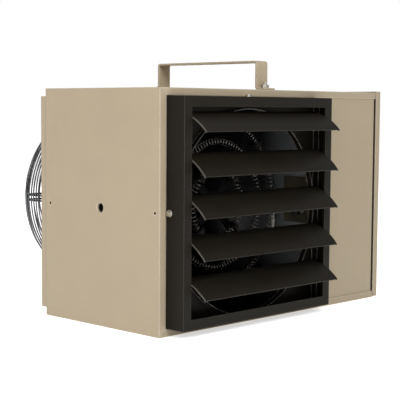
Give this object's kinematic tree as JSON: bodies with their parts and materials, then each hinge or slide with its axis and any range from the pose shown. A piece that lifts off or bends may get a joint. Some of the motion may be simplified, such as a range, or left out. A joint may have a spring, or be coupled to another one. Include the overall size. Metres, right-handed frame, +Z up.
{
  "type": "electric unit heater",
  "caption": "Beige sheet-metal electric unit heater with adjustable louver outlet, wire-guarded fan, control door and top hanging bracket.",
  "frame": {"origin": "centre of the cabinet's underside", "axes": "+X to the right seen from the front, +Y to the back, +Z up"},
  "size_m": [0.5329, 0.4366, 0.4013],
  "materials": {
    "cabinet_paint": "satin",
    "louver_paint": "satin",
    "zinc": "bright zinc plate",
    "guard_wire": "bright plated",
    "chamber_black": "heat-resistant black",
    "galvanised": "galvanised",
    "motor_paint": "semi-gloss",
    "bearing_bronze": "sintered",
    "lamination": "varnished",
    "shaft_steel": "ground",
    "fan_paint": "satin black",
    "coil_wire": "oxidised",
    "ceramic": "glazed",
    "dark_ceramic": "unglazed",
    "limit_brown": "heat-tinted",
    "moulded_black": "moulded",
    "relay_case": "moulded",
    "lug_metal": "tin plate"
  },
  "bodies": {
    "cabinet": {"left_side_panel": "cabinet_paint", "top_panel": "cabinet_paint", "bottom_panel": "cabinet_paint", "front_panel": "cabinet_paint", "rear_panel": "cabinet_paint", "mounting_bracket": "cabinet_paint", "louver_frame": "louver_paint", "outlet_pan": "louver_paint", "rear_panel_screws": "zinc", "louver_frame_screws": "zinc", "louver_pivot_pins": "zinc", "bracket_bolts": "zinc", "bracket_nuts": "zinc", "guard_screws": "zinc", "motor_studs": "zinc", "motor_nuts": "zinc", "spider_screws": "zinc", "limit_screws": "zinc", "hinge_leaf_fixed": "zinc", "hinge_pin": "zinc", "fan_guard_side_rings": "guard_wire", "fan_guard_back_rings": "guard_wire", "fan_guard_legs": "guard_wire", "partition": "chamber_black", "element_spider": "chamber_black", "terminal_bar": "chamber_black", "motor_plate": "galvanised", "motor_shell": "motor_paint", "motor_front_bell": "motor_paint", "motor_rear_bell": "motor_paint", "motor_bearings": "bearing_bronze", "motor_stator": "lamination", "transformer": "lamination", "heating_coil_inner": "coil_wire", "heating_coil_middle": "coil_wire", "heating_coil_outer": "coil_wire", "terminal_blocks": "ceramic", "coil_insulators": "dark_ceramic", "limit_plate": "limit_brown", "thermal_cutout": "moulded_black", "contactor": "moulded_black", "terminal_strip": "moulded_black", "fan_relay": "relay_case", "ground_lug": "lug_metal"},
    "fan": {"motor_shaft": "shaft_steel", "motor_rotor": "lamination", "fan_blades": "fan_paint", "fan_hub": "fan_paint", "fan_set_screw": "zinc"},
    "door": {"control_door": "cabinet_paint", "door_latch_screws": "zinc", "hinge_leaf_moving": "zinc"},
    "blade_1": {"louver_blade_1": "louver_paint"},
    "blade_2": {"louver_blade_2": "louver_paint"},
    "blade_3": {"louver_blade_3": "louver_paint"},
    "blade_4": {"louver_blade_4": "louver_paint"},
    "blade_5": {"louver_blade_5": "louver_paint"}
  },
  "joints": [
    {"name": "fan_spin", "type": "hinge", "parent": "cabinet", "child": "fan", "pos_m": [-0.0765, 0.136, 0.178], "axis": [0, 1, 0], "continuous": true},
    {"name": "blade_1_tilt", "type": "hinge", "parent": "cabinet", "child": "blade_1", "pos_m": [-0.0765, -0.148, 0.3135], "axis": [1, 0, 0], "range_deg": [-30, 40]},
    {"name": "blade_2_tilt", "type": "hinge", "parent": "cabinet", "child": "blade_2", "pos_m": [-0.0765, -0.148, 0.2541], "axis": [1, 0, 0], "range_deg": [-35, 35]},
    {"name": "blade_3_tilt", "type": "hinge", "parent": "cabinet", "child": "blade_3", "pos_m": [-0.0765, -0.148, 0.1947], "axis": [1, 0, 0], "range_deg": [-34, 36]},
    {"name": "blade_4_tilt", "type": "hinge", "parent": "cabinet", "child": "blade_4", "pos_m": [-0.0765, -0.148, 0.1353], "axis": [1, 0, 0], "range_deg": [-34, 36]},
    {"name": "blade_5_tilt", "type": "hinge", "parent": "cabinet", "child": "blade_5", "pos_m": [-0.0765, -0.148, 0.0759], "axis": [1, 0, 0], "range_deg": [-29, 41]},
    {"name": "door_swing", "type": "hinge", "parent": "cabinet", "child": "door", "pos_m": [0.2605, 0.1315, 0.178], "axis": [0, 0, 1], "range_deg": [0, 100]}
  ]
}
